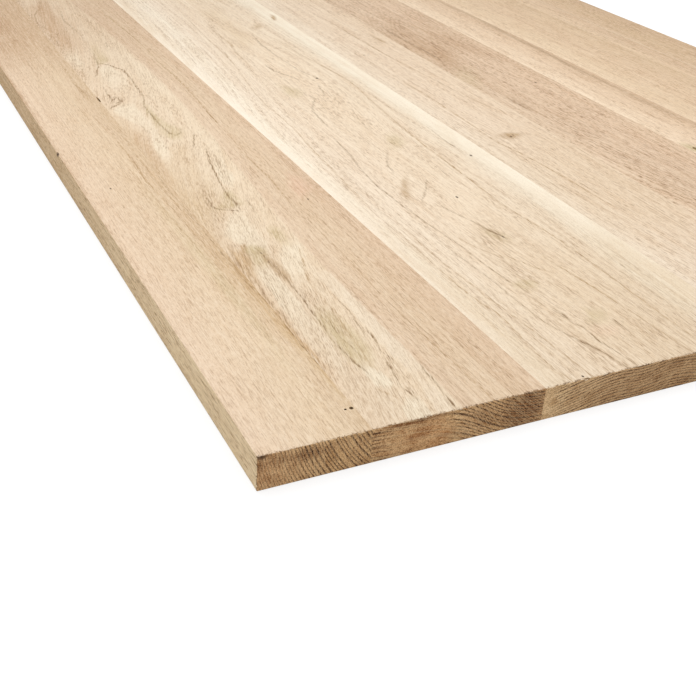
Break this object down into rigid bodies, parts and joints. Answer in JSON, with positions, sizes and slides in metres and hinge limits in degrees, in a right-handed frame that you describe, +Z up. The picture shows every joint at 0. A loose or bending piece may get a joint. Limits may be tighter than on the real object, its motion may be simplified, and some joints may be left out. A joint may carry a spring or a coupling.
{
  "type": "oak tabletop",
  "caption": "Solid oak tabletop: a flat rectangular panel of full-length staves glued edge to edge, with square ends, lightly eased arrises and a few small natural flaws.",
  "frame": {"origin": "middle of the underside, on the surface the panel lies on", "axes": "+Y along the grain towards the far end, +X across the staves towards the right long edge, +Z up out of the show face"},
  "size_m": [0.9, 2, 0.026],
  "materials": {
    "oak_stave_1": "planed and sanded, unoiled",
    "oak_stave_2": "planed and sanded, unoiled",
    "oak_stave_3": "planed and sanded, unoiled",
    "oak_stave_4": "planed and sanded, unoiled",
    "oak_stave_5": "planed and sanded, unoiled",
    "oak_stave_6": "planed and sanded, unoiled",
    "oak_stave_7": "planed and sanded, unoiled",
    "oak_stave_8": "planed and sanded, unoiled"
  },
  "bodies": {
    "root": {"stave_1": "oak_stave_1", "stave_2": "oak_stave_2", "stave_3": "oak_stave_3", "stave_4": "oak_stave_4", "stave_5": "oak_stave_5", "stave_6": "oak_stave_6", "stave_7": "oak_stave_7", "stave_8": "oak_stave_8"}
  },
  "joints": []
}
